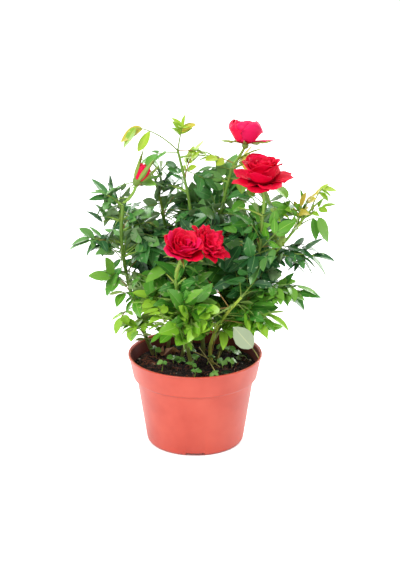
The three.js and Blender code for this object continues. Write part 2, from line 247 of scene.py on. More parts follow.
outer_rows = np.arange(len(pot_profile))[:, None] < np.argmax(pot_profile[:, 1])
in_notch = (away < NOTCH_HALF_TURN * 1.03)[None] & (radius > NOTCH_DEPTH_RADIUS - 0.1)
lifted = np.where(in_notch & outer_rows, np.maximum(height, NOTCH_ROOF), height)
floor_rows = ~outer_rows & (radius > NOTCH_DEPTH_RADIUS - WALL) & (height < NOTCH_ROOF + WALL)
near = (away < NOTCH_HALF_TURN * 1.2)[None]
lifted = np.where(near & floor_rows, np.maximum(lifted, NOTCH_ROOF + WALL), lifted)
pot_points = np.stack([radius * np.cos(turns), radius * np.sin(turns), lifted], -1).reshape(-1, 3)
pot_points = np.vstack([pot_points, [[0, 0, 0], [0, 0, WALL]]])
ring = np.arange(len(turns))
ring_after = np.roll(ring, -1)
last_row = (len(pot_profile) - 1) * len(turns)
middle = len(pot_points)
pot_faces = [
    grid_faces(len(pot_profile), len(turns), closed=True),
    np.stack([ring_after, ring, np.full_like(ring, middle - 2)], -1),
    np.stack([last_row + ring, last_row + ring_after, np.full_like(ring, middle - 1)], -1),
]
pot_plastic = mottled(
    "pot_plastic",
    [(218, 80, 60), (226, 88, 67), (231, 95, 73)],
    (0.36, 0.46),
    (26, 900),
    bump=0.12,
    depth=0.08,
    Coat_Weight=0.6,
    Coat_Roughness=0.25,
)
# The inside of the pot is darker than its outside: painted shade within the wall, with some staining from
# the wet soil.
pot_inside_stain_and_shade = mottled(
    "pot_inside_stain_and_shade", [(104, 36, 30), (132, 50, 40)], (0.5, 0.7), (40, 900), bump=0.15, depth=0.08
)
face_row = np.repeat(np.arange(len(pot_profile) - 1), len(turns))
lip_row = np.argmax(pot_profile[:, 1]) + 9  # the last row of the rolled lip; below it the inside is darker
# Faces below the lip, and the inner floor's cap, take the darker inside material: painted shade with some
# soil staining.
pot_tints = np.concatenate([face_row > lip_row, np.zeros(len(turns)), np.ones(len(turns))])
make_piece(
    "plant_pot", pot_points, pot_faces, [pot_plastic, pot_inside_stain_and_shade], tints=pot_tints, replaces=["pot"]
)

# ---- The potting soil -----------------------------------------------------------------------------
# Moist peat compost, pressed down by watering: an uneven dark bed with loose crumbs, chips of
# composted bark, pale grains and brown fibres lying on it.

SOIL_TOP = 75.5
SOIL_EDGE = box_mm("potting_soil")[1][0] + 0.2  # a little into the pot's wall, so that no gap shows


def rng_for(word):
    """A random generator whose seed is worked out from a word, so each piece keeps its own draw."""
    return np.random.default_rng(sum((i + 1) * ord(letter) for i, letter in enumerate(word)))


def soil_level(x, y):
    """The soil's height: slow lumps, which level out towards the pot's wall, and finer ones."""
    lumps = np.sin(0.16 * x + 0.4) * np.cos(0.13 * y) + 0.6 * np.sin(0.29 * y + 0.21 * x)
    fine = np.sin(0.9 * x + 1.3 * np.sin(0.7 * y)) * np.cos(0.8 * y + np.sin(0.6 * x))
    finer = np.sin(2.1 * x + 2 * np.sin(1.7 * y)) * np.sin(1.9 * y + 1.5 * np.sin(1.3 * x))
    level = 1 - (np.hypot(x, y) / SOIL_EDGE) ** 6
    return SOIL_TOP + level * (1.5 * lumps) + 0.55 * fine + 0.3 * finer


# Below its edge the bed follows the inside of the pot down to near its floor.
bed_out = np.concatenate([np.linspace(0.01, 1, 56) * SOIL_EDGE, [58.2, 54.6, 44.5, 0.01]])
bed_turn = full_turn(150)
bed_x, bed_y = bed_out[:, None] * np.cos(bed_turn), bed_out[:, None] * np.sin(bed_turn)
bed_z = soil_level(bed_x, bed_y)
bed_z[-4:] = np.array([COLLAR_FOOT + 2.6, COLLAR_FOOT - 1.8, 5.5, 5.5])[:, None]
bed = np.stack([bed_x, bed_y, bed_z], -1).reshape(-1, 3)
soil_bed = mottled(
    "moist_peat",
    [(16, 9, 8), (34, 20, 16), (52, 33, 26)],
    (0.75, 0.95),
    (520, 2600),
    bump=0.9,
    depth=0.7,
)
bed_faces = grid_faces(len(bed_out), len(bed_turn), closed=True)[:, ::-1]
make_piece("soil_bed", bed, [bed_faces], [soil_bed], replaces=["potting_soil"])


def scattered(draw, count, reach=1.0):
    """Points spread evenly over the soil's disc: radius by the square root of a share, any turn."""
    out = np.sqrt(draw.random(count)) * (SOIL_EDGE - 1.2) * reach
    turn = draw.random(count) * 2 * np.pi
    return out * np.cos(turn), out * np.sin(turn)


def turned_axes(draw, count):
    """Three axes at right angles for each of count things, turned at random."""
    first = unit(draw.normal(size=(count, 3)))
    second = unit(np.cross(first, draw.normal(size=(count, 3))))
    return np.stack([first, second, np.cross(first, second)], 1)


# A lump of ten faces: five points round its waist, one over them and one under them.
WAIST = [[1, 0, 0.2], [0.3, 1, 0.1], [-0.9, 0.5, -0.1], [-0.5, -0.9, 0.2], [0.6, -0.8, -0.2]]
LUMP = np.array([[0, 0, 1], *WAIST, [0, 0, -1]])
LUMP_FACES = np.array([[0, a, a % 5 + 1] for a in range(1, 6)] + [[6, a % 5 + 1, a] for a in range(1, 6)])


def lumps(draw, x, y, z, size, stretch=(1, 1, 1)):
    """Small faceted lumps: one pattern of seven points, each lump stretched and turned its own way
    and every point pushed in or out a little."""
    count = len(x)
    shape = LUMP[None] * (1 + 0.25 * draw.normal(size=(count, 7, 1))) * np.array(stretch)
    shape = np.einsum("npi,nij->npj", shape * size[:, None, None], turned_axes(draw, count))
    points = shape + np.stack([x, y, z], -1)[:, None]
    faces = LUMP_FACES[None] + 7 * np.arange(count)[:, None, None]
    return points.reshape(-1, 3), faces.reshape(-1, 3)


CRUMBS = 3600
draw = rng_for("soil crumbs")
crumb_x, crumb_y = scattered(draw, CRUMBS)
crumb_size = 0.35 + 1.15 * draw.random(CRUMBS) ** 3
crumbs, crumb_faces = lumps(
    draw, crumb_x, crumb_y, soil_level(crumb_x, crumb_y) + 0.25 * crumb_size, crumb_size
)
crumb_kinds = {
    "peat_crumb_dark": (30, 17, 14, 0.85),
    "peat_crumb_brown": (66, 42, 32, 0.85),
    "bark_crumb_red": (112, 66, 44, 0.8),
    "perlite_grain": (196, 188, 172, 0.7),
}
crumb_materials = [material_with(name, kind[:3], kind[3]) for name, kind in crumb_kinds.items()]
crumb_kind = draw.choice(4, size=CRUMBS, p=[0.62, 0.28, 0.08, 0.02])
make_piece(
    "soil_crumbs",
    crumbs,
    [crumb_faces],
    crumb_materials,
    tints=np.repeat(crumb_kind, len(LUMP_FACES)),
    smooth=False,
)

# ---- Canes, bough and flower stalks ---------------------------------------------------------------
# Green rose stems, browner at the foot and flushed in patches, a little thicker at every leaf joint,
# with fine lengthwise ridges. Each follows the centreline of its solid in the frame.

CANES = [n for n in sorted(frame["nodes"]) if n.startswith("cane_")]
STALKS = [n for n in sorted(frame["nodes"]) if n.startswith(("stalk_", "bough_"))]
LIMB_STEPS = 96


def smooth_path(knots, count):
    """A curve through the knots: a cubic between each pair, whose slopes are half the difference
    of the knots on either side, taken at count even steps."""
    knots = np.asarray(knots, float)
    slopes = np.gradient(knots, axis=0)
    at = np.linspace(0, len(knots) - 1, count)
    i = np.minimum(at.astype(int), len(knots) - 2)
    t = (at - i)[:, None]
    p0, p1, m0, m1 = knots[i], knots[i + 1], slopes[i], slopes[i + 1]
    start = (2 * t**3 - 3 * t**2 + 1) * p0 + (t**3 - 2 * t**2 + t) * m0
    return start + (3 * t**2 - 2 * t**3) * p1 + (t**3 - t**2) * m1


def limb_rings(node):
    """The middles and radii of the rings that a limb's solid is made of.

    Its corner points are sorted along its chord and split wherever two neighbours are far apart.
    """
    mesh = frame["nodes"][node].data
    corners = np.empty(len(mesh.vertices) * 3)
    mesh.vertices.foreach_get("co", corners)
    corners = np.unique(np.round(corners.reshape(-1, 3) / MM, 3), axis=0)
    low, high = corners[np.argmin(corners[:, 2])], corners[np.argmax(corners[:, 2])]
    along = (corners - low) @ unit(high - low)
    order = np.argsort(along)
    corners, along = corners[order], along[order]
    groups = np.split(corners, np.nonzero(np.diff(along) > 0.035 * along[-1])[0] + 1)
    middles = np.array([(group.min(0) + group.max(0)) / 2 for group in groups])
    radii = [np.sqrt(((g - m) ** 2).sum(1)).max() for g, m in zip(groups, middles)]
    return middles, np.array(radii)


limb_paths, limb_radii = {}, {}
for node in CANES + STALKS:
    middles, radii = limb_rings(node)
    limb_paths[node] = smooth_path(middles, LIMB_STEPS)
    radii = np.minimum(radii, 1.12 * radii[1])
    slimness = np.linspace(0.8, 0.96, LIMB_STEPS) if node in CANES else 0.96
    at_step = np.interp(np.linspace(0, 1, LIMB_STEPS), np.linspace(0, 1, len(radii)), radii)
    limb_radii[node] = slimness * at_step


def tubes(paths, radii, sides, ripple=None):
    """A closed tube round each of several paths (tubes, steps, 3). radii are (tubes, steps), or one
    row that serves every tube. Returns the points, the quads and the triangles.

    Each ring stands square to its path. Its points go round two axes across the path; ripple is a
    share added to the radius, (tubes, steps, sides). Each end is closed by a fan on its middle.
    """
    count, steps = paths.shape[:2]
    radii = np.broadcast_to(radii, (count, steps))
    forward = unit(np.gradient(paths, axis=1))
    chord = unit(paths[:, -1] - paths[:, 0])
    steep = (np.abs(chord[:, 2]) > 0.7)[:, None]
    reference = np.where(steep, [[1.0, 0.2, 0]], [[0, 0, 1.0]])[:, None]
    across = unit(np.cross(reference, forward))
    over = np.cross(forward, across)
    turn = full_turn(sides)
    spoke = np.cos(turn)[:, None] * across[:, :, None] + np.sin(turn)[:, None] * over[:, :, None]
    wide = radii[:, :, None] * (1 if ripple is None else 1 + ripple)
    rings = paths[:, :, None] + spoke * wide[..., None]
    ends = paths[:, [0, -1]]
    points = np.concatenate([rings.reshape(count, -1, 3), ends], 1)
    side = np.arange(sides)
    after = (side + 1) % sides
    foot, top = np.full(sides, steps * sides), np.full(sides, steps * sides + 1)
    last = (steps - 1) * sides
    caps = np.vstack([np.stack([after, side, foot], -1), np.stack([last + side, last + after, top], -1)])
    quads = repeated(grid_faces(steps, sides, True), count, points.shape[1])
    return points.reshape(-1, 3), quads, repeated(caps, count, points.shape[1])


def tube_piece(name, shape, material, replaces=()):
    """The tubes as one piece, all of one material."""
    make_piece(name, shape[0], shape[1:], [material], replaces=replaces)


def repeated(faces, count, points_each):
    """The same faces for each of count copies whose points follow one another."""
    return (faces[None] + points_each * np.arange(count)[:, None, None]).reshape(-1, faces.shape[1])


JOINT_GAP = 19


def bark_ripple(name, steps, sides, length):
    """Fine lengthwise ridges that wander round the stem, and a swelling at each leaf joint."""
    along = np.linspace(0, 1, steps)[:, None] * length
    turn = full_turn(sides)[None]
    ridges = 0.05 * np.sin(5 * turn + 0.12 * along) + 0.03 * np.sin(8 * turn - 0.3 * along)
    joint = rng_for(name).random() * 20
    swelling = 0.24 * np.exp(-(((along - joint) % JOINT_GAP - JOINT_GAP / 2) ** 2) / 3.0)
    return (ridges + swelling)[None]


WOODY_HEIGHT = 34


def stem_material(name, foot_colour, skin_colour, flush_colour):
    """Green skin with a flush of another colour in patches, and near the soil the foot's colour."""
    colours = [skin_colour, skin_colour, flush_colour]
    material = mottled(name, colours, (0.42, 0.6), (60, 700), bump=0.25, depth=0.15, steps=(0.3, 0.72))
    nodes, links = material.node_tree.nodes, material.node_tree.links
    place, split = nodes.new("ShaderNodeTexCoord"), nodes.new("ShaderNodeSeparateXYZ")
    rise, mix = nodes.new("ShaderNodeMapRange"), nodes.new("ShaderNodeMix")
    mix.data_type = "RGBA"
    rise.inputs["From Min"].default_value = (SOIL_TOP + 1) * MM
    rise.inputs["From Max"].default_value = (SOIL_TOP + WOODY_HEIGHT) * MM
    links.new(place.outputs["Object"], split.inputs["Vector"])
    links.new(split.outputs["Z"], rise.inputs["Value"])
    links.new(rise.outputs["Result"], mix.inputs["Factor"])
    shader = nodes["Principled BSDF"]
    mix.inputs["A"].default_value = (*linear(foot_colour), 1)
    links.new(shader.inputs["Base Color"].links[0].from_socket, mix.inputs["B"])
    links.new(mix.outputs["Result"], shader.inputs["Base Color"])
    return material


cane_bark = stem_material("cane_bark", (112, 108, 56), (118, 158, 58), (142, 140, 62))
young_bark = stem_material("young_cane_bark", (182, 182, 84), (176, 204, 74), (190, 190, 84))
stalk_skin = stem_material("stalk_skin", (140, 168, 70), (140, 182, 70), (168, 166, 74))
STEM_SIDES = 14
for node in CANES + STALKS:
    path, radii = limb_paths[node], limb_radii[node]
    length = np.linalg.norm(np.diff(path, axis=0), axis=1).sum()
    skin = young_bark if node == "cane_young" else cane_bark if node in CANES else stalk_skin
    shape = tubes(path[None], radii[None], STEM_SIDES, bark_ripple(node, LIMB_STEPS, STEM_SIDES, length))
    tube_piece(node + "_bark", shape, skin, [node])

# ---- Blooms and bud -------------------------------------------------------------------------------
# Four open roses and a bud. Crimson petals, 19 to 36 to a bloom, stand round its middle at the golden
# angle, upright inside and flared outside, on a green hip with five narrow sepals.

GOLDEN_TURN = math.radians(137.508)
PETAL_U, PETAL_V = 15, 13


def smooth_step(x):
    """0 below 0, 1 above 1, and 3x^2 - 2x^3 between."""
    x = np.clip(x, 0, 1)
    return x * x * (3 - 2 * x)


def axes_of(azimuth, pitch):
    """Three axes at right angles, the last one along an azimuth and a pitch given in degrees."""
    a, p = math.radians(azimuth), math.radians(pitch)
    out = np.array([math.cos(a) * math.cos(p), math.sin(a) * math.cos(p), math.sin(p)])
    over = np.array([-math.cos(a) * math.sin(p), -math.sin(a) * math.sin(p), math.cos(p)])
    return np.stack([over, np.cross(out, over), out])


def petals(draw, turn, long, half, wall, edge, start, bowl=74, point=0.1, ruffle=0.5, wrap=1.0):
    """Petals about the third axis, (petals, PETAL_U, PETAL_V, 3), from arrays of one value a petal,
    or one value for them all.

    A petal climbs from its base (u = 0) to its edge (u = 1) at an angle off the axis that falls
    from bowl to wall and ends at edge; summing the angle's sine and cosine gives its radius and
    height. Across it (v from -1 to 1) it bends on an arc about as wide as that radius, towards its
    inner side. Its sides are shorter than its middle, which ends in a point, and its edge waves.
    """
    turn, long, half, wall, edge, start, point = (
        np.broadcast_to(np.asarray(a, float), len(turn))[:, None, None]
        for a in (turn, long, half, wall, edge, start, point)
    )
    u = np.linspace(0, 1, PETAL_U)[None, :, None]
    v = np.linspace(-1, 1, PETAL_V)[None, None, :]
    side = np.abs(v)
    lean = wall + (bowl - wall) * np.exp(-u / 0.13) + (edge - wall) * smooth_step((u - 0.5) / 0.5)
    lean = np.radians(lean) + 0 * v
    stride = long * (1 - 0.24 * side**2.4 + point * (1 - side) ** 2) / (PETAL_U - 1) + 0 * u
    out = start + np.cumsum(np.sin(lean) * stride, 1) - np.sin(lean) * stride
    rise = np.cumsum(np.cos(lean) * stride, 1) - np.cos(lean) * stride
    width = half * (0.26 + 0.74 * np.sin(0.5 * np.pi * np.minimum(1, u / 0.62)))
    width = width * (1 - 0.16 * smooth_step((u - 0.75) / 0.25) * side)
    arc = np.maximum(out[:, :, PETAL_V // 2 : PETAL_V // 2 + 1], 1.6) * wrap
    angle = np.clip(v * width / arc, -2.6, 2.6)
    inwards = arc * (1 - np.cos(angle))
    phase = draw.random(turn.shape) * 6.3
    wave = ruffle * u**3 * (np.sin(2.5 * np.pi * v * 0.7 + phase) + 0.6 * np.sin(7 * v + 2 * phase))
    rolled = 1.5 * smooth_step((side - 0.7) / 0.3) * u**2 * smooth_step(half / 10)
    inwards = inwards + wave - rolled
    out = out - np.cos(lean) * inwards
    rise = rise + np.sin(lean) * inwards
    across = arc * np.sin(angle)
    x = out * np.cos(turn) - across * np.sin(turn)
    y = out * np.sin(turn) + across * np.cos(turn)
    return np.stack([x, y, rise], -1)


def petal_piece(name, points, place, axes, materials, tints, replaces, thickness=0.28):
    """Petal grids set on a bloom's axes as one piece, given thickness to both sides."""
    count = len(points)
    at = points.reshape(-1, 3) @ axes + place
    faces = repeated(grid_faces(points.shape[1], points.shape[2]), count, points.shape[1] * points.shape[2])
    piece = make_piece(name, at, [faces], materials, tints=tints, replaces=replaces)
    solid = piece.modifiers.new("thickness", "SOLIDIFY")
    solid.thickness = thickness * MM
    solid.offset = 0
    return piece


# Each bloom: where it looks (azimuth, pitch) and its count of petals. By share of that count, from
# the middle outwards: the petals' length, half width, wall angle, edge angle, first radius and point.
# Then how far an edge waves, the turn of the last petal (180 is the side that the bloom looks to), the
# stalk, the numbers of its reds, how far up from its base the darkest red lies as painted shade, and its
# shift to the right of its solid.
BLOOMS = {
    "bloom_right": dict(
        look=(-96, 84), petals=33, shares=(0, 0.45, 0.72, 0.78, 1), long=(23, 26, 28, 22, 23),
        half=(6, 10.5, 14, 12, 12), wall=(-2, 7, 15, 60, 80), edge=(8, 34, 56, 86, 98),
        start=(0.6, 2.8, 4.8, 4.8, 5.0), point=(0.02, 0.04, 0.08, 0.16, 0.2), ruffle=0.32, last=180,
        stalk="stalk_right_bloom", shades=(0, 1, 2), painted_shade_reach=0.34, shift=0,
    ),
    "bloom_top": dict(
        look=(80, 74), petals=19, shares=(0, 0.4, 0.95, 0.97, 1), long=(18, 24, 28, 18, 19),
        half=(6, 11, 14, 8, 7), wall=(2, 16, 34, 50, 70), edge=(-10, -40, -74, 90, 102),
        start=(1.2, 3.4, 5.0, 4.0, 4.0), point=(0, 0, 0, 0.1, 0.2), ruffle=0.06, last=85,
        stalk="stalk_top_bloom", shades=(4, 4, 2), painted_shade_reach=0.12, shift=5.5,
    ),
    "bloom_front_left": dict(
        look=(-62, 64), petals=30, shares=(0, 0.4, 0.7, 0.85, 1), long=(18, 20, 22, 22, 21),
        half=(4.5, 8, 11, 11.5, 11.5), wall=(-2, 10, 20, 30, 40), edge=(6, 32, 50, 62, 66),
        start=(0.6, 2.2, 3.4, 3.8, 4.0), point=(0.05, 0.05, 0.1, 0.14, 0.14), ruffle=0.5, last=110,
        stalk="stalk_front_bloom", shades=(0, 1, 4), painted_shade_reach=0.34, shift=0,
    ),
    "bloom_front_right": dict(
        look=(-30, 46), petals=36, shares=(0, 0.4, 0.7, 0.85, 1), long=(13, 16, 17, 17, 18),
        half=(4, 6, 7.5, 8, 8), wall=(4, 20, 38, 50, 60), edge=(20, 56, 78, 86, 88),
        start=(0.6, 2.2, 3.4, 3.8, 4.0), point=(0.1, 0.12, 0.2, 0.24, 0.24), ruffle=0.9, last=200,
        stalk=None, shades=(0, 1, 2), painted_shade_reach=0.34, shift=0,
    ),
}
# The fourth red, the darkest, is painted shade: it goes on the rows near each petal's base, deep in the
# bloom.
petal_reds = [
    material_with(f"petal_red_{k}", colour, 0.5, Specular_IOR_Level=0.2)
    for k, colour in enumerate([(222, 1, 50), (236, 3, 58), (246, 10, 72), (172, 0, 34), (238, 22, 92)])
]
petal_rows = np.repeat(np.linspace(0, 1, PETAL_U - 1), PETAL_V - 1)
sepal_sets, hip_sets = [], []
for node, bloom in BLOOMS.items():
    draw = rng_for(node)
    low, high = box_mm(node)
    axes = axes_of(*bloom["look"])
    count = bloom["petals"]
    share = np.linspace(0, 1, count)
    long, half, wall, edge, start, point = (
        np.interp(share, bloom["shares"], bloom[key])
        for key in ("long", "half", "wall", "edge", "start", "point")
    )
    wall = wall + draw.normal(size=count) * (1.5 + 5 * share)
    edge = edge + draw.normal(size=count) * (3 + 9 * share)
    turn = (np.arange(count) - count + 1) * GOLDEN_TURN + 0.12 * draw.normal(size=count)
    turn = turn + math.radians(bloom["last"])
    points = petals(
        draw, turn, long * (1 + 0.05 * draw.normal(size=count)), half, wall, edge, start,
        point=point, ruffle=bloom["ruffle"],
    )
    spread = points.reshape(-1, 3) @ axes
    place = (low + high) / 2 - (spread.min(0) + spread.max(0)) / 2 + [bloom["shift"], 0, 0]
    shade = draw.choice(bloom["shades"], size=count)
    # Rows near each petal's base take the darkest red as painted shade; the rest take the petal's own red.
    tints = np.where(petal_rows[None] < bloom["painted_shade_reach"], 3, shade[:, None])
    petal_piece(node + "_petals", points, place, axes, petal_reds, tints.ravel(), [node])
    # five sepals under it, spread out and a little down, and the hip between them and the stalk
    five = np.arange(5) * 2 * np.pi / 5 + draw.random() * 2
    sepals = petals(
        draw, five, draw.uniform(11, 17, 5), 1.5, 84, draw.uniform(70, 125, 5), 2,
        bowl=60, point=0.5, ruffle=0.4, wrap=2.5,
    )
    sepal_sets.append(sepals.reshape(-1, 3) @ axes + place - axes[2] * 0.8)
    hip_path = place + np.linspace(-6.5, 1.2, 9)[:, None] * axes[2]
    if bloom["stalk"]:
        stalk_tip = limb_paths[bloom["stalk"]][-1]
        hip_path = smooth_path([stalk_tip, (stalk_tip + place) / 2 - axes[2] * 1.0, hip_path[-1]], 9)
    hip_sets.append((hip_path, np.array([1.3, 1.5, 2.1, 2.9, 3.3, 3.3, 3.0, 2.8, 2.2])))

# The bud: seven petals closed to a spindle, and five sepals pressed to it, whose tips bend in or out.
bud_axes = axes_of(10, 58)
bud_place = limb_paths["stalk_bud"][-1] + bud_axes[2] * 0.4
BUD_PETALS = 7
draw = rng_for("bud")
bud_petals = petals(
    draw, np.arange(BUD_PETALS) * GOLDEN_TURN, 16.5, 6.6, 10, -46, 2.2, bowl=66, point=0.1, ruffle=0.1,
)
petal_piece(
    "bud_petals", bud_petals, bud_place, bud_axes, petal_reds[2:3],
    np.zeros(BUD_PETALS * (PETAL_U - 1) * (PETAL_V - 1), int), ["bud_left"],
)
five = np.arange(5) * 2 * np.pi / 5 + 0.35
bud_sepals = petals(
    draw, five, draw.uniform(16, 21, 5), 2.3, 12, draw.uniform(-40, 16, 5), 2.8,
    bowl=68, point=0.5, ruffle=0.3,
)
sepal_sets.append(bud_sepals.reshape(-1, 3) @ bud_axes + bud_place)
bud_hip = bud_place + np.linspace(-6.0, 1.6, 9)[:, None] * bud_axes[2]
hip_sets.append((bud_hip, np.array([1.5, 1.9, 2.6, 3.3, 3.9, 4.3, 4.4, 4.1, 3.0])))
sepal_green = material_with("sepal_green", (142, 172, 72), 0.55)
sepals = np.array(sepal_sets).reshape(-1, PETAL_U, PETAL_V, 3)
petal_piece("sepals", sepals, np.zeros(3), np.eye(3), [sepal_green], None, [])
hip_shape = tubes(np.array([h[0] for h in hip_sets]), np.array([h[1] for h in hip_sets]), 14)
tube_piece("hips", hip_shape, material_with("hip_green", (120, 152, 62), 0.45))

# ---- Foliage: twigs, leaf stalks and leaflets -----------------------------------------------------
# Rose leaves of five toothed leaflets, in pairs on a thin stalk with one at its tip. They grow on
# short twigs that leave the canes, up and outwards, and fill the room of each foliage mass.

LEAF_MASSES = [n for n in sorted(frame["nodes"]) if n.startswith("leaves_")]
node_slot = {row["node"]: row["material_slot"] for row in frame["record"]["subparts"]}


def mass_skin(node, draw, spacing):
    """Points spread over a mass's faces, one for each spacing squared of area, and the way out.

    Each point is a random mix of a random triangle's corners, and triangles are drawn by area.
    """
    mesh = frame["nodes"][node].data
    mesh.calc_loop_triangles()
    corners = np.empty(len(mesh.vertices) * 3)
    mesh.vertices.foreach_get("co", corners)
    numbers = np.empty(len(mesh.loop_triangles) * 3, np.int32)
    mesh.loop_triangles.foreach_get("vertices", numbers)
    a, b, c = np.moveaxis((corners.reshape(-1, 3) / MM)[numbers.reshape(-1, 3)], 1, 0)
    facing = np.cross(b - a, c - a)
    area = np.linalg.norm(facing, axis=1) / 2
    count = int(area.sum() / spacing**2) + 8
    chosen = draw.choice(len(area), size=count, p=area / area.sum())
    u, v = np.sqrt(draw.random((2, count, 1)))
    u, v = 1 - u, v * u
    points = a[chosen] * (1 - u - v) + b[chosen] * u + c[chosen] * v
    return points, unit(facing[chosen])


def spread_out(points, count, draw):
    """The numbers of count points, each the farthest from those already taken."""
    taken = [int(draw.integers(len(points)))]
    gap = np.linalg.norm(points - points[taken[0]], axis=1)
    while len(taken) < min(count, len(points)):
        taken.append(int(gap.argmax()))
        gap = np.minimum(gap, np.linalg.norm(points - points[taken[-1]], axis=1))
    return np.array(taken)


def curve_through(start, middle, end, share):
    """Quadratic curves that leave start towards middle and come in to end, at the given shares."""
    s = share[None, :, None]
    return (1 - s) ** 2 * start[:, None] + 2 * s * (1 - s) * middle[:, None] + s**2 * end[:, None]


def square_to(faces, ways):
    """Each face's direction with what lies along its way taken out, at unit length."""
    return unit(faces - (faces * ways).sum(1, keepdims=True) * ways)


def arched(start, end, lift, steps):
    """Curves from start to end in even steps, drawn towards a point that stands lift off half way."""
    return curve_through(start, (start + end) / 2 + lift, end, np.linspace(0, 1, steps))


SKIN_STEP = 2.6
skins = {node: mass_skin(node, rng_for(node), SKIN_STEP) for node in LEAF_MASSES}
limb_points = np.vstack([limb_paths[n][6:] for n in CANES + STALKS])  # all but their feet
PLANT_MIDDLE = np.array([4.0, 8.0, 0.0])


def nearest_limb(place, below, weight):
    """The limb point nearest to a place. One that isn't this far below it counts as farther off, by
    a weight times what it lacks."""
    gap = np.linalg.norm(limb_points - place, axis=1)
    return limb_points[(gap + weight * np.maximum(limb_points[:, 2] - place[2] + below, 0)).argmin()]


# Leaf length, stalk and all, and how many square millimetres of a mass's skin one leaf covers.
LEAF_LONG, LEAF_SHORT = 62.0, 40.0
COVER = {"leaf_dark": 350, "leaf_mid": 360, "leaf_bright": 340, "leaf_young": 470}
SPARSE = 1.35  # an airy mass, or a narrow one of grown leaves, has this many times fewer
AIRY = ["leaves_upper_left", "leaves_upper_middle", "leaves_upper_right", "leaves_inner_side", "leaves_back"]
NARROW, BROAD, VERY_BROAD = 19, 20, 30  # by half of a mass's middle side
HIDDEN_GAP = 3.2  # skin this near to another mass's skin faces it, inside the crown, and gets no leaves
TWIG_REACH, SIDE_TWIG_REACH, TWIG_STEPS = 0.74, 0.5, 14
# These masses carry only their own spray from CLEAR_SPRAYS.
SPRAY_ONLY = ["leaves_young_left", "leaves_right_leaf", "leaves_tip_tall"]
# The leaves of these masses hang and show their faces to the front, more than others do.
HANGING = [
    "leaves_centre", "leaves_centre_low", "leaves_right_centre", "leaves_right_upper", "leaves_front_left",
    "leaves_front_right", "leaves_right_tip", "leaves_right_shoulder",
]

twig_list, leaf_rows, mass_ends = [], [], {}
for node in LEAF_MASSES:
    draw = rng_for(node + " leaves")
    skin, out = skins[node]
    tint = node_slot[node]
    middle = (skin.min(0) + skin.max(0)) / 2
    others = np.vstack([skins[n][0] for n in LEAF_MASSES if n != node])
    near_others = others[(np.abs(others - middle) < np.ptp(skin, axis=0) / 2 + 6).all(1)]
    hidden = np.zeros(len(skin), bool)
    if len(near_others):
        gaps = np.linalg.norm(skin[:, None] - near_others[None], axis=2).min(1)
        hidden = gaps < HIDDEN_GAP
    shown, outwards = skin[~hidden], out[~hidden]
    breadth = np.sort(np.ptp(skin, axis=0))[1] / 2
    long = float(np.clip(2.2 * breadth + 10, LEAF_SHORT, LEAF_LONG))
    long *= 0.88 if tint == "leaf_bright" else 1
    root = nearest_limb(middle, 4, 1.2)
    tip = skin[np.linalg.norm(skin - root, axis=1).argmax()]
    mass_ends[node] = (root, tip)
    if node in SPRAY_ONLY:
        continue
    cover = COVER[tint] * (SPARSE if breadth < NARROW and tint != "leaf_young" else 1)
    cover *= SPARSE if node in AIRY else 1
    count = max(3, int(round(len(shown) * SKIN_STEP**2 / cover)))
    picked = spread_out(shown, count, draw)
    tips, ways = shown[picked], outwards[picked]
    # twigs: one main, from the root to near the tip, and side twigs in a mass that is broad
    twig_ends = [root + TWIG_REACH * (tip - root)]
    if breadth > BROAD:
        extra = spread_out(shown, 4 if breadth < VERY_BROAD else 7, draw)
        twig_ends += [middle + SIDE_TWIG_REACH * (shown[k] - middle) for k in extra]
    starts = np.repeat(root[None], len(twig_ends), 0)
    for k, end in enumerate(twig_ends[1:], 1):
        starts[k] = nearest_limb(end, 8, 1.0)
    ends = np.array(twig_ends)
    lift = np.array([0, 0, 1.0]) * 0.12 * np.linalg.norm(ends - starts, axis=1)[:, None]
    twigs = arched(starts, ends, lift, TWIG_STEPS)
    twig_list.append(twigs)
    bases = np.vstack([twigs.reshape(-1, 3), limb_points])
    to_tip = tips[:, None] - bases[None]
    reach = np.linalg.norm(to_tip, axis=2)
    opening = (unit(to_tip) * ways[:, None]).sum(2)
    wanted = long * (0.8 + 0.36 * draw.random(len(tips)))[:, None]
    cost = np.abs(reach - wanted) / long + 0.22 * (1 - opening)
    cost = cost + 0.5 * np.maximum(-to_tip[..., 2] / long - 0.3, 0)
    base = bases[cost.argmin(1)]
    leaf_rows.append((node, tint, base, tips, ways, np.full(len(tips), long)))

# Every leaf, in arrays.
leaf_node = np.concatenate([[r[0]] * len(r[2]) for r in leaf_rows])
leaf_tint = np.concatenate([[r[1]] * len(r[2]) for r in leaf_rows])
leaf_tint[leaf_node == "leaves_inner_tip"] = "leaf_mid"  # these have grown green already
leaf_base, leaf_tip, leaf_way = (np.vstack([r[k] for r in leaf_rows]) for k in (2, 3, 4))
leaf_long = np.concatenate([r[5] for r in leaf_rows])
draw = rng_for("leaf habit")
leaves = len(leaf_base)
span = leaf_tip - leaf_base
length = np.linalg.norm(span, axis=1, keepdims=True)
outward = leaf_base * [1, 1, 0] - PLANT_MIDDLE
habit = np.where(np.isin(leaf_node, HANGING), np.where(leaf_tint == "leaf_dark", 1.0, 0.55), 0.18)
shows_face = np.clip(-leaf_way[:, 1:2], 0, 1) * habit[:, None]
sun = unit(
    (1 - 0.5 * shows_face) * np.array([0, 0, 1.0])
    + (0.15 + 0.75 * shows_face) * leaf_way
    + 0.15 * unit(outward)
    + 0.2 * draw.normal(size=(leaves, 3))
)
forward = unit(span)
up_side = square_to(sun, forward)
bend = leaf_base + 0.5 * span + (0.1 + 0.12 * draw.random((leaves, 1))) * length * up_side

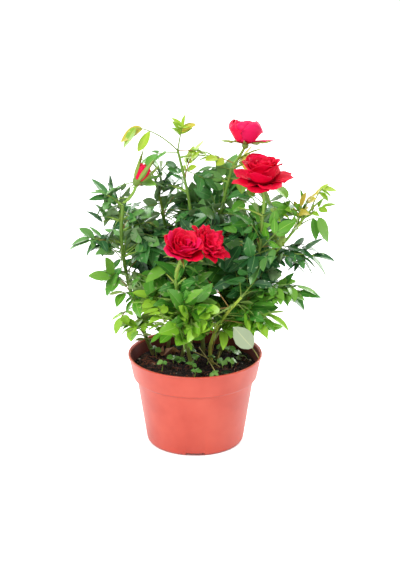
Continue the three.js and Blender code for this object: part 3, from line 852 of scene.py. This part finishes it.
# Leaflets: a terminal one whose tip is the leaf's own, and two pairs behind it.
LEAFLET_SHARE = 0.43
PAIRS = [(0.84, 0.86), (0.5, 0.7)]  # where along the stalk, and how long beside the terminal one
size = np.clip(length[:, 0], 0.75 * leaf_long, 1.15 * leaf_long) * LEAFLET_SHARE
size = size * (0.92 + 0.16 * draw.random(leaves))


def leaf_point(share):
    """A point and the direction on each leaf's own curve, share of the way along."""
    s = np.full(leaves, share)[:, None] if np.isscalar(share) else share[:, None]
    point = (1 - s) ** 2 * leaf_base + 2 * s * (1 - s) * bend + s**2 * leaf_tip
    slope = 2 * (1 - s) * (bend - leaf_base) + 2 * s * (leaf_tip - bend)
    return point, unit(slope)


end_share = 1 - size / np.maximum(length[:, 0], 1)
stem_end, _ = leaf_point(end_share)
blades = [(stem_end, unit(leaf_tip - stem_end), up_side, np.linalg.norm(leaf_tip - stem_end, axis=1))]
petiolules = []
for share, scale in PAIRS:
    joint, way = leaf_point(end_share * share)
    sideways = unit(np.cross(up_side, way))
    for side in (-1, 1):
        spread = np.radians(56 + 12 * draw.normal(size=(leaves, 1)).clip(-1.5, 1.5))
        direction = np.cos(spread) * way + side * np.sin(spread) * sideways
        direction = unit(direction + 0.12 * draw.normal(size=(leaves, 3)))
        face = up_side + side * 0.22 * sideways + 0.16 * draw.normal(size=(leaves, 3))
        face = square_to(face, direction)
        start = joint + direction * 0.05 * size[:, None]
        petiolules.append((joint, start))
        blades.append((start, direction, face, size * scale * (0.9 + 0.2 * draw.random(leaves))))
blade_base, blade_way, blade_face, blade_long = (np.concatenate([b[k] for b in blades]) for k in range(4))
blade_tint = np.tile(leaf_tint, len(blades))
blade_leaf = np.tile(np.arange(leaves), len(blades))
# Leaflets hang from their joints, most of all on the side that they show their faces to.
hang = 0.1 + 0.9 * draw.random((len(blade_leaf), 1)) ** 1.3
hang = 0.02 + hang * (0.12 + 0.78 * shows_face[blade_leaf])
blade_way = unit(blade_way - hang * np.array([0, 0, 1.0]))
blade_face = square_to(blade_face, blade_way)

# Seen from the plant's best side, these stems and blooms stand clear: leaflets before them are left
# out. A stem has the room kept on either side of it, and the step along it where that begins.
BEST_SIDE = np.array([0, -math.cos(math.radians(19)), math.sin(math.radians(19))])
CLEAR = {
    "cane_young": (4.0, 4),
    "cane_left": (2.5, 50),
    "stalk_bud": (6.0, 0),
    "stalk_front_bloom": (3.0, 0),
    "stalk_right_bloom": (2.0, 0),
    "cane_tall": (2.0, 76),
}
clear_points = [(limb_paths[n][k:], np.full(LIMB_STEPS - k, gap)) for n, (gap, k) in CLEAR.items()]
for node in list(BLOOMS) + ["bud_left"]:
    low, high = box_mm(node)
    gap = (high - low)[0] * 0.5 + (7 if node == "bud_left" else 3)
    clear_points.append(((low + high)[None] / 2, np.array([gap])))
clear_at = np.vstack([c[0] for c in clear_points])
clear_gap = np.concatenate([c[1] for c in clear_points])
blade_middle = blade_base + 0.55 * blade_long[:, None] * blade_way
to_blade = blade_middle[:, None] - clear_at[None]
ahead = to_blade @ BEST_SIDE
aside = np.sqrt(np.maximum((to_blade**2).sum(2) - ahead**2, 0))
kept = ~((ahead > -2) & (aside < clear_gap + 0.25 * blade_long[:, None])).any(1)
blade_base, blade_way, blade_face, blade_long = (
    a[kept] for a in (blade_base, blade_way, blade_face, blade_long)
)
blade_tint, blade_leaf = blade_tint[kept], blade_leaf[kept]

# Sprays that stand clear at the plant's edge, one to a mass. Each tells how many leaflets it has,
# how long they are, how far they hang, and how far they open to the best side, from 0 to 1.
CLEAR_SPRAYS = {
    "leaves_young_left": (3, 25.0, 1.3, 0.7),
    "leaves_tip_tall": (9, 13.0, 0.1, 0.7),
    "leaves_right_leaf": (2, 26.0, 1.8, 0.8),
    "leaves_right_tip": (5, 14.0, 0.8, 0.7),
    "leaves_right_shoulder": (3, 22.0, 0.6, 0.7),
    "leaves_right_middle": (4, 28.0, 0.0, 0.3),
    "leaves_right_low": (3, 24.0, 0.0, 0.7),
    "leaves_right_foot": (2, 16.0, -0.3, 1.0),
    "leaves_left_low": (3, 25.0, 0.0, 0.8),
    "leaves_left_outer": (4, 21.0, 0.2, 0.6),
    "leaves_left_upper": (3, 23.0, -0.4, 0.5),
    "leaves_left_tuft": (2, 20.0, -0.7, 0.5),
    "leaves_left_foot": (2, 19.0, 0.0, 0.8),
    "leaves_upper_left": (3, 23.0, 0.0, 0.4),
}
SPRAY_STEPS = 12
spray_paths, spray_blades = [], []
for node, (count, long, hanging, opening) in CLEAR_SPRAYS.items():
    draw = rng_for(node + " spray")
    skin = skins[node][0]
    root, tip = mass_ends[node]
    out = unit(tip - root)
    middle = (skin.min(0) + skin.max(0)) / 2
    raised = np.array([0, 0, np.clip(hanging, -0.6, 1.0) * 0.4 * np.ptp(skin[:, 2])])
    end = middle + raised + out * 0.1 * np.linalg.norm(tip - root)
    bow = (root + end) / 2 + np.array([0, 0, 0.2]) * np.linalg.norm(end - root)
    even = np.linspace(0, 1, SPRAY_STEPS)
    spray_paths.append(curve_through(root[None], bow[None], end[None], even)[0])
    # leaflets sit at even steps along the outer half, on either side in turn, the last one at its end
    step = np.arange(count)
    share = 1 - 0.5 * step / count
    base = curve_through(root[None], bow[None], end[None], share)[0]
    side = np.where(step == 0, 0, np.where(step % 2 == 1, 1, -1))[:, None]
    across = unit(np.cross(out, BEST_SIDE))
    way = unit(out + 0.9 * side * across - [0, 0, hanging] + 0.15 * draw.normal(size=(count, 3)))
    aside_face = unit(np.cross(way, BEST_SIDE))
    aside_face *= np.where(aside_face[:, 2:] < 0, -1, 1)
    open_face = unit(BEST_SIDE - (way @ BEST_SIDE)[:, None] * way)
    face = opening * open_face + math.sqrt(1 - opening**2) * aside_face
    spray_blades.append((base, way, face, long * draw.uniform(0.8, 1.1, count), [node_slot[node]] * count))
blade_base, blade_way, blade_face, blade_long, blade_tint = (
    np.concatenate([given] + [blades[k] for blades in spray_blades])
    for k, given in enumerate((blade_base, blade_way, blade_face, blade_long, blade_tint))
)

# One leaflet's pattern. u runs from its stalk to its tip and v across it, with a narrow rib between.
BLADE_U = np.array([0, 0.06, 0.15, 0.25, 0.36, 0.47, 0.58, 0.69, 0.8, 0.9, 1.0])
BLADE_V = np.array([-1, -0.5, -0.045, 0.045, 0.5, 1])
UNDER_V = np.array([1.0, 0.05, -0.05, -1.0])


def blade_half_width(u):
    """Half the leaflet's width as a share of its length: an oval, widest a little short of half way,
    that narrows faster to its point than to its stalk."""
    return 0.8 * u**0.66 * (1 - u) ** 0.93


def blade_points(base, way, face, long, across, lower, word, plump):
    """Leaflets' points: base + u along each + v across it by its half width + relief.

    The relief is a valley fold that rises with |v|, a droop that grows with u squared, a quilting
    that rises between the side veins, and a slight cup. Teeth push every second margin point out.
    """
    draw = rng_for(word)
    count = len(base)
    u, v = BLADE_U[None, :, None], across[None, None, :]
    side = np.abs(v)
    long = long[:, None, None]
    width = plump * (0.7 + 0.38 * draw.random((count, 1, 1))) * blade_half_width(u) * long
    fold = 0.08 + 0.34 * draw.random((count, 1, 1))
    droop = 0.04 + 0.3 * draw.random((count, 1, 1)) ** 1.5
    sweep = 0.1 * draw.normal(size=(count, 1, 1))
    twist = 0.35 * draw.normal(size=(count, 1, 1))
    teeth = 1 + 0.05 * (np.arange(len(BLADE_U)) % 2)[None, :, None] * (side > 0.9)
    x = u * long + 0.05 * long * side * u * (1 - u)
    y = v * width * teeth + sweep * long * u**2
    veins = 0.014 * long * np.sin(20 * u) * (side > 0.3) * (side < 0.9)
    z = fold * side * width - droop * long * u**2 + veins * u * (1 - u) * 3
    z = z + twist * v * width * u - 0.25 * fold * v**2 * width
    z = z - lower * (side < 0.99) * (u < 0.999) * 0.22
    across_way = np.cross(face, way)[:, None, None]
    along, up = way[:, None, None], face[:, None, None]
    points = base[:, None, None] + x[..., None] * along + y[..., None] * across_way
    return (points + z[..., None] * up).reshape(count, -1, 3)


def leaf_piece(name, blades, shades, shade, replaces=(), plump=1.0):
    """Leaflets as one piece. blades holds their bases, ways, faces and lengths. shades are the
    plain colours of upper faces, then of the under face and of the rib; shade picks one a leaf."""
    upper = blade_points(*blades, BLADE_V, 0.0, name, plump)
    under = blade_points(*blades, UNDER_V, 1.0, name, plump)
    upper_faces = grid_faces(len(BLADE_U), len(BLADE_V))[:, ::-1]
    under_faces = grid_faces(len(BLADE_U), len(UNDER_V))[:, ::-1] + upper.shape[1]
    upper_rib, under_rib = (
        np.tile(np.arange(len(across) - 1) == (len(across) - 2) // 2, len(BLADE_U) - 1)[None]
        for across in (BLADE_V, UNDER_V)
    )
    points = np.concatenate([upper, under], 1)
    faces = repeated(np.vstack([upper_faces, under_faces]), len(upper), points.shape[1])
    kinds = ["upper"] * (len(shades) - 2) + ["under", "rib"]
    materials = [
        material_with(f"{name}_{kind}_{k}", colour, 0.34 if kind == "upper" else 0.6)
        for k, (kind, colour) in enumerate(zip(kinds, shades))
    ]
    upper_tints = np.where(upper_rib, len(shades) - 1, shade[:, None])
    under_tints = np.where(under_rib, len(shades) - 1, np.full((len(upper), 1), len(shades) - 2))
    tints = np.concatenate([upper_tints, under_tints], 1).ravel()
    return make_piece(name, points.reshape(-1, 3), [faces], materials, tints=tints, replaces=replaces)


# Colours of the leaves: for each tint the upper face in three shades, the under face and the rib.
LEAF_SHADES = {
    "leaf_dark": [(40, 96, 46), (68, 132, 60), (106, 162, 80), (138, 170, 118), (114, 166, 98)],
    "leaf_mid": [(66, 136, 44), (94, 162, 54), (124, 184, 66), (150, 182, 110), (128, 182, 86)],
    "leaf_bright": [(96, 164, 40), (126, 188, 46), (156, 206, 60), (164, 194, 102), (158, 206, 86)],
    "leaf_young": [(140, 188, 52), (170, 206, 60), (202, 190, 66), (188, 208, 92), (200, 198, 84)],
}
shade_pick = rng_for("shade").integers(0, 3, leaves)
in_sun = (leaf_tip[:, 2] > 226) & (leaf_tint == "leaf_dark") & (rng_for("sun").random(leaves) < 0.7)
spray_shade = rng_for("clear shade").integers(0, 3, len(blade_base) - len(blade_leaf))
shade_pick = np.concatenate([np.minimum(shade_pick + in_sun, 2)[blade_leaf], spray_shade])
for tint, shades in LEAF_SHADES.items():
    chosen = blade_tint == tint
    leaf_piece(
        "leaflets_" + tint[5:],
        [a[chosen] for a in (blade_base, blade_way, blade_face, blade_long)],
        shades,
        shade_pick[chosen],
        replaces=[n for n in LEAF_MASSES if node_slot[n] == tint],
    )

# A single leaf turned over at the right of the front, its pale side out.
turned_base, turned_tip = np.array([[54.0, -46, 111]]), np.array([[35.0, -45, 132]])
turned_way = unit(turned_tip - turned_base)
turned_face = square_to(unit(np.array([[0.1, 0.9, -0.45]])), turned_way)
PALE_SHADES = [(96, 128, 84), (168, 184, 148), (196, 204, 160)]
leaf_piece(
    "turned_leaf",
    [turned_base, turned_way, turned_face, np.array([28.0])],
    PALE_SHADES,
    np.zeros(1, int),
    plump=1.5,
)

# Leaf stalks and the short stalks of the side leaflets.
STALK_STEPS = 8
s = (np.linspace(0, 1, STALK_STEPS)[None] * end_share[:, None])[..., None]
stalk_paths = (1 - s) ** 2 * leaf_base[:, None] + 2 * s * (1 - s) * bend[:, None] + s**2 * leaf_tip[:, None]
short_a, short_b = (np.concatenate([p[k] for p in petiolules]) for k in (0, 1))
short_paths = short_a[:, None] + np.linspace(0, 1.3, 3)[None, :, None] * (short_b - short_a)[:, None]
leaf_stalk_green = material_with("leaf_stalk_green", (128, 158, 66), 0.5)
leaf_stalk_bronze = material_with("leaf_stalk_bronze", (166, 130, 70), 0.5)
long_shape = tubes(stalk_paths, np.linspace(0.62, 0.34, STALK_STEPS), 5)
short_shape = tubes(short_paths, 0.34, 4)
stalk_bronze = rng_for("bronze").random(leaves) < np.where(leaf_tint == "leaf_young", 0.6, 0.15)
short_bronze = np.tile(stalk_bronze, len(petiolules))
quads, caps = (np.vstack([long_shape[k], short_shape[k] + len(long_shape[0])]) for k in (1, 2))
tints = np.concatenate([
    np.repeat(bronze, len(shape[k]) // len(bronze))
    for k in (1, 2)
    for shape, bronze in ((long_shape, stalk_bronze), (short_shape, short_bronze))
])
make_piece(
    "leaf_stalks",
    np.vstack([long_shape[0], short_shape[0]]),
    [quads, caps],
    [leaf_stalk_green, leaf_stalk_bronze],
    tints=tints,
)

spray_shape = tubes(np.array(spray_paths), np.linspace(0.8, 0.4, SPRAY_STEPS), 6)
tube_piece("spray_stalks", spray_shape, leaf_stalk_green)

# Twigs.
tube_piece("twigs", tubes(np.vstack(twig_list), np.linspace(1.05, 0.6, TWIG_STEPS), 6), stalk_skin)

# ---- Litter and seedlings on the soil -------------------------------------------------------------
# What lies on the compost: small and a few big chips of bark, dry brown fibres, yellow fallen leaf
# stalks, a few fallen leaves, and weed seedlings, each three round leaves on a thin stem.


def on_soil(places, lift=0.0):
    """Points (n, 3) on the soil at places [right, back], lifted a little."""
    x, y = np.asarray(places, float).T
    return np.stack([x, y, soil_level(x, y) + lift], -1)


CHIPS = 90
draw = rng_for("bark chips")
chip_x, chip_y = scattered(draw, CHIPS, 0.94)
chip_z = soil_level(chip_x, chip_y) + 0.5
chips, chip_faces = lumps(draw, chip_x, chip_y, chip_z, draw.uniform(0.7, 1.7, CHIPS), (2.2, 1.1, 0.5))
big = np.array([[-27.0, 31.0], [-21.0, 33.0], [-33.0, 29.5], [30.0, -6.0], [47.0, 14.0]])
big_at = on_soil(big, 1.8)
big_chips, big_faces = lumps(draw, *big_at.T, np.array([5.6, 4.6, 4.2, 2.6, 2.6]), (1.7, 1.0, 0.8))
chip_tan = material_with("chip_tan", (168, 118, 84), 0.8)
chip_brown = material_with("chip_brown", (70, 42, 30), 0.8)
chip_tints = np.concatenate([draw.random(CHIPS) < 0.86, [0, 0, 0, 1, 1]]).astype(int)
make_piece(
    "bark_chips",
    np.vstack([chips, big_chips]),
    [np.vstack([chip_faces, big_faces + len(chips)])],
    [chip_tan, chip_brown],
    tints=np.repeat(chip_tints, len(LUMP_FACES)),
    smooth=False,
)

FIBRES = 70
draw = rng_for("fibres")
fibre_x, fibre_y = scattered(draw, FIBRES, 0.9)
fibre_x[:16], fibre_y[:16] = draw.normal(-44, 6, 16), draw.normal(8, 6, 16)
fibre_turn, fibre_long = draw.random(FIBRES) * np.pi, draw.uniform(5, 13, FIBRES)
reach = np.stack([np.cos(fibre_turn), np.sin(fibre_turn)], -1) * fibre_long[:, None] / 2
middles = np.stack([fibre_x, fibre_y], -1)
middles *= np.minimum(1, (SOIL_EDGE - 9) / np.maximum(np.linalg.norm(middles, axis=1), 1))[:, None]
fibre_paths = curve_through(
    on_soil(middles - reach, 0.6), on_soil(middles, 3.4), on_soil(middles + reach, 0.6), np.linspace(0, 1, 7)
)
# Fallen stalks lean from high places at the back down to the soil, and the third on the pot's rim.
fallen_from = on_soil([[4, 30], [28, 20], [54, 8], [-2, 10]], 4.0)
fallen_from = fallen_from + [[0, 0, 4], [0, 0, 16], [0, 0, 12], [0, 0, 6]]
fallen_to = on_soil([[21, -33], [21, 0], [56, -12], [24, -8]], 1.2)
fallen_to = fallen_to + [[0, 0, 0], [0, 0, 0], [6, -4, 9], [0, 0, 0]]
fallen_paths = arched(fallen_from, fallen_to, [0, 0, 3.0], 7)
litter_paths = np.vstack([fibre_paths, fallen_paths])
litter_radii = np.repeat([[0.28], [0.55]], (FIBRES, len(fallen_paths)), 0) * np.ones(7)
litter_shape = tubes(litter_paths, litter_radii, 5)
fibre_brown = material_with("fibre_brown", (120, 66, 46), 0.8)
fallen_yellow = material_with("fallen_stalk_yellow", (190, 176, 104), 0.7)
is_fallen = np.arange(len(litter_paths)) >= FIBRES
litter_tints = np.concatenate([np.repeat(is_fallen, len(f) // len(is_fallen)) for f in litter_shape[1:]])
make_piece(
    "soil_litter", litter_shape[0], litter_shape[1:], [fibre_brown, fallen_yellow], tints=litter_tints
)

# Seedlings, scattered over the open soil.
SEEDLINGS = 16
draw = rng_for("seedlings")
feet = on_soil(np.stack(scattered(draw, SEEDLINGS, 0.82), -1))
lean = draw.normal(size=(SEEDLINGS, 2)) * 1.5
tops = feet + np.column_stack([lean, draw.uniform(5, 12, SEEDLINGS)])
seed_paths = arched(feet, tops, draw.normal(size=(SEEDLINGS, 3)), 6)
tube_piece("seedling_stems", tubes(seed_paths, 0.42, 6), leaf_stalk_green)
seed_turn = draw.random(SEEDLINGS) * 2 * np.pi
facing_turn = seed_turn + np.pi + draw.normal(size=SEEDLINGS) * 0.4
seed_turns = np.concatenate([seed_turn, facing_turn, seed_turn + 1.6])
seed_rise = draw.normal(size=3 * SEEDLINGS) * 0.25
seed_way = unit(np.stack([np.cos(seed_turns), np.sin(seed_turns), seed_rise], -1))
seed_face = unit(np.array([0, -0.45, 1]) + 0.25 * draw.normal(size=(3 * SEEDLINGS, 3)))
seed_face = square_to(seed_face, seed_way)
leaf_piece(
    "seedling_leaves",
    [np.tile(tops, (3, 1)), seed_way, seed_face, draw.uniform(5.0, 8.0, 3 * SEEDLINGS)],
    [(104, 160, 70), (126, 178, 84), (142, 178, 106), (150, 190, 100)],
    draw.integers(0, 2, 3 * SEEDLINGS),
    plump=1.75,
)

# Fallen leaves: a dark wet one at the front and one at the back, and two pale dry ones at the right.
fallen_base = on_soil([[24, -24], [40, 17], [30, 40], [-10, 50]], 1.6)
fallen_way = unit(np.array([[1, -0.3, 0.02], [1, -0.55, 0.08], [1, -0.1, 0.05], [-1, -0.2, 0.05]]))
fallen_face = unit(np.array([[0, 0, 1.0], [0.1, -0.5, 1], [0.1, -0.6, 1], [0, 0, 1]]))
fallen_face = square_to(fallen_face, fallen_way)
leaf_piece(
    "fallen_leaves",
    [fallen_base, fallen_way, fallen_face, np.array([17.0, 13.0, 12.0, 15.0])],
    [(24, 46, 34), (122, 136, 92), (92, 108, 76), (140, 146, 104)],
    np.array([0, 1, 1, 0]),
    plump=1.3,
)

# ---- Floor, light and camera ----------------------------------------------------------------------
# A wide white table top that glows to the camera, five soft lamps and a pale sky. The key lamp is at
# the upper left of the front, the fill at its right, one is overhead and two light the edges.

floor_mesh = bpy.data.meshes.new("floor")
floor_mesh.from_pydata([(-4, -4, 0), (4, -4, 0), (4, 6, 0), (-4, 6, 0)], [], [(0, 1, 2, 3)])
floor = bpy.data.objects.new("floor", floor_mesh)
bpy.context.scene.collection.objects.link(floor)
pale_floor = material_with("pale_floor", (240, 240, 240), 0.9, Emission_Color=(1, 1, 1, 1))
nodes, floor_links = pale_floor.node_tree.nodes, pale_floor.node_tree.links
sight = nodes.new("ShaderNodeLightPath")
glow = nodes.new("ShaderNodeMath")
glow.operation = "MULTIPLY"
place, span = nodes.new("ShaderNodeTexCoord"), nodes.new("ShaderNodeVectorMath")
fade = nodes.new("ShaderNodeMapRange")
span.operation = "LENGTH"
# It glows only outside the pot's foot, which keeps the notches dark.
GLOW_FROM, GLOW_TO, GLOW = 0.0455, 0.0475, 0.75
for socket, value in (("From Min", GLOW_FROM), ("From Max", GLOW_TO), ("To Max", GLOW)):
    fade.inputs[socket].default_value = value
floor_links.new(place.outputs["Object"], span.inputs[0])
floor_links.new(span.outputs["Value"], fade.inputs["Value"])
floor_links.new(fade.outputs["Result"], glow.inputs[1])
floor_links.new(sight.outputs["Is Camera Ray"], glow.inputs[0])
floor_links.new(glow.outputs["Value"], nodes["Principled BSDF"].inputs["Emission Strength"])
floor_mesh.materials.append(pale_floor)

world = bpy.data.worlds.new("studio")
world.use_nodes = True
sky = world.node_tree.nodes["Background"].inputs
sky["Color"].default_value = (1, 1, 1, 1)
sky["Strength"].default_value = 0.44
bpy.context.scene.world = world
bpy.context.scene.view_settings.view_transform = "Standard"

VIEW_AIM = Vector((0.0047, 0, 0.1576))
VIEW_DISTANCE = 1.5
VIEW_ELEVATION = math.radians(18.91)


def aimed(name, data, place, target):
    """An object at a place, turned so that its -Z axis points at the target."""
    thing = bpy.data.objects.new(name, data)
    thing.location = place
    thing.rotation_euler = (Vector(target) - Vector(place)).to_track_quat("-Z", "Y").to_euler()
    bpy.context.scene.collection.objects.link(thing)
    return thing


def lamp(name, place, width, power):
    """A square soft lamp that shines at the plant's middle."""
    data = bpy.data.lights.new(name, "AREA")
    data.size, data.energy = width, power
    return aimed(name, data, place, VIEW_AIM)


lamp("key_lamp", (-0.9, -1.2, 1.3), 0.6, 21)
lamp("fill_lamp", (1.3, -0.9, 0.7), 1.0, 5.5)
lamp("top_lamp", (0.1, 0.5, 1.7), 0.8, 11)
lamp("left_rim_lamp", (-0.8, 1.1, 0.5), 0.8, 8)
lamp("right_rim_lamp", (0.8, 1.1, 0.5), 0.8, 13)

camera_data = bpy.data.cameras.new("camera")
camera_data.lens, camera_data.sensor_width = 99.18, 36
camera_data.clip_start, camera_data.clip_end = 0.05, 30
back_off = Vector((0, -math.cos(VIEW_ELEVATION), math.sin(VIEW_ELEVATION))) * VIEW_DISTANCE
bpy.context.scene.camera = aimed("camera", camera_data, VIEW_AIM + back_off, VIEW_AIM)
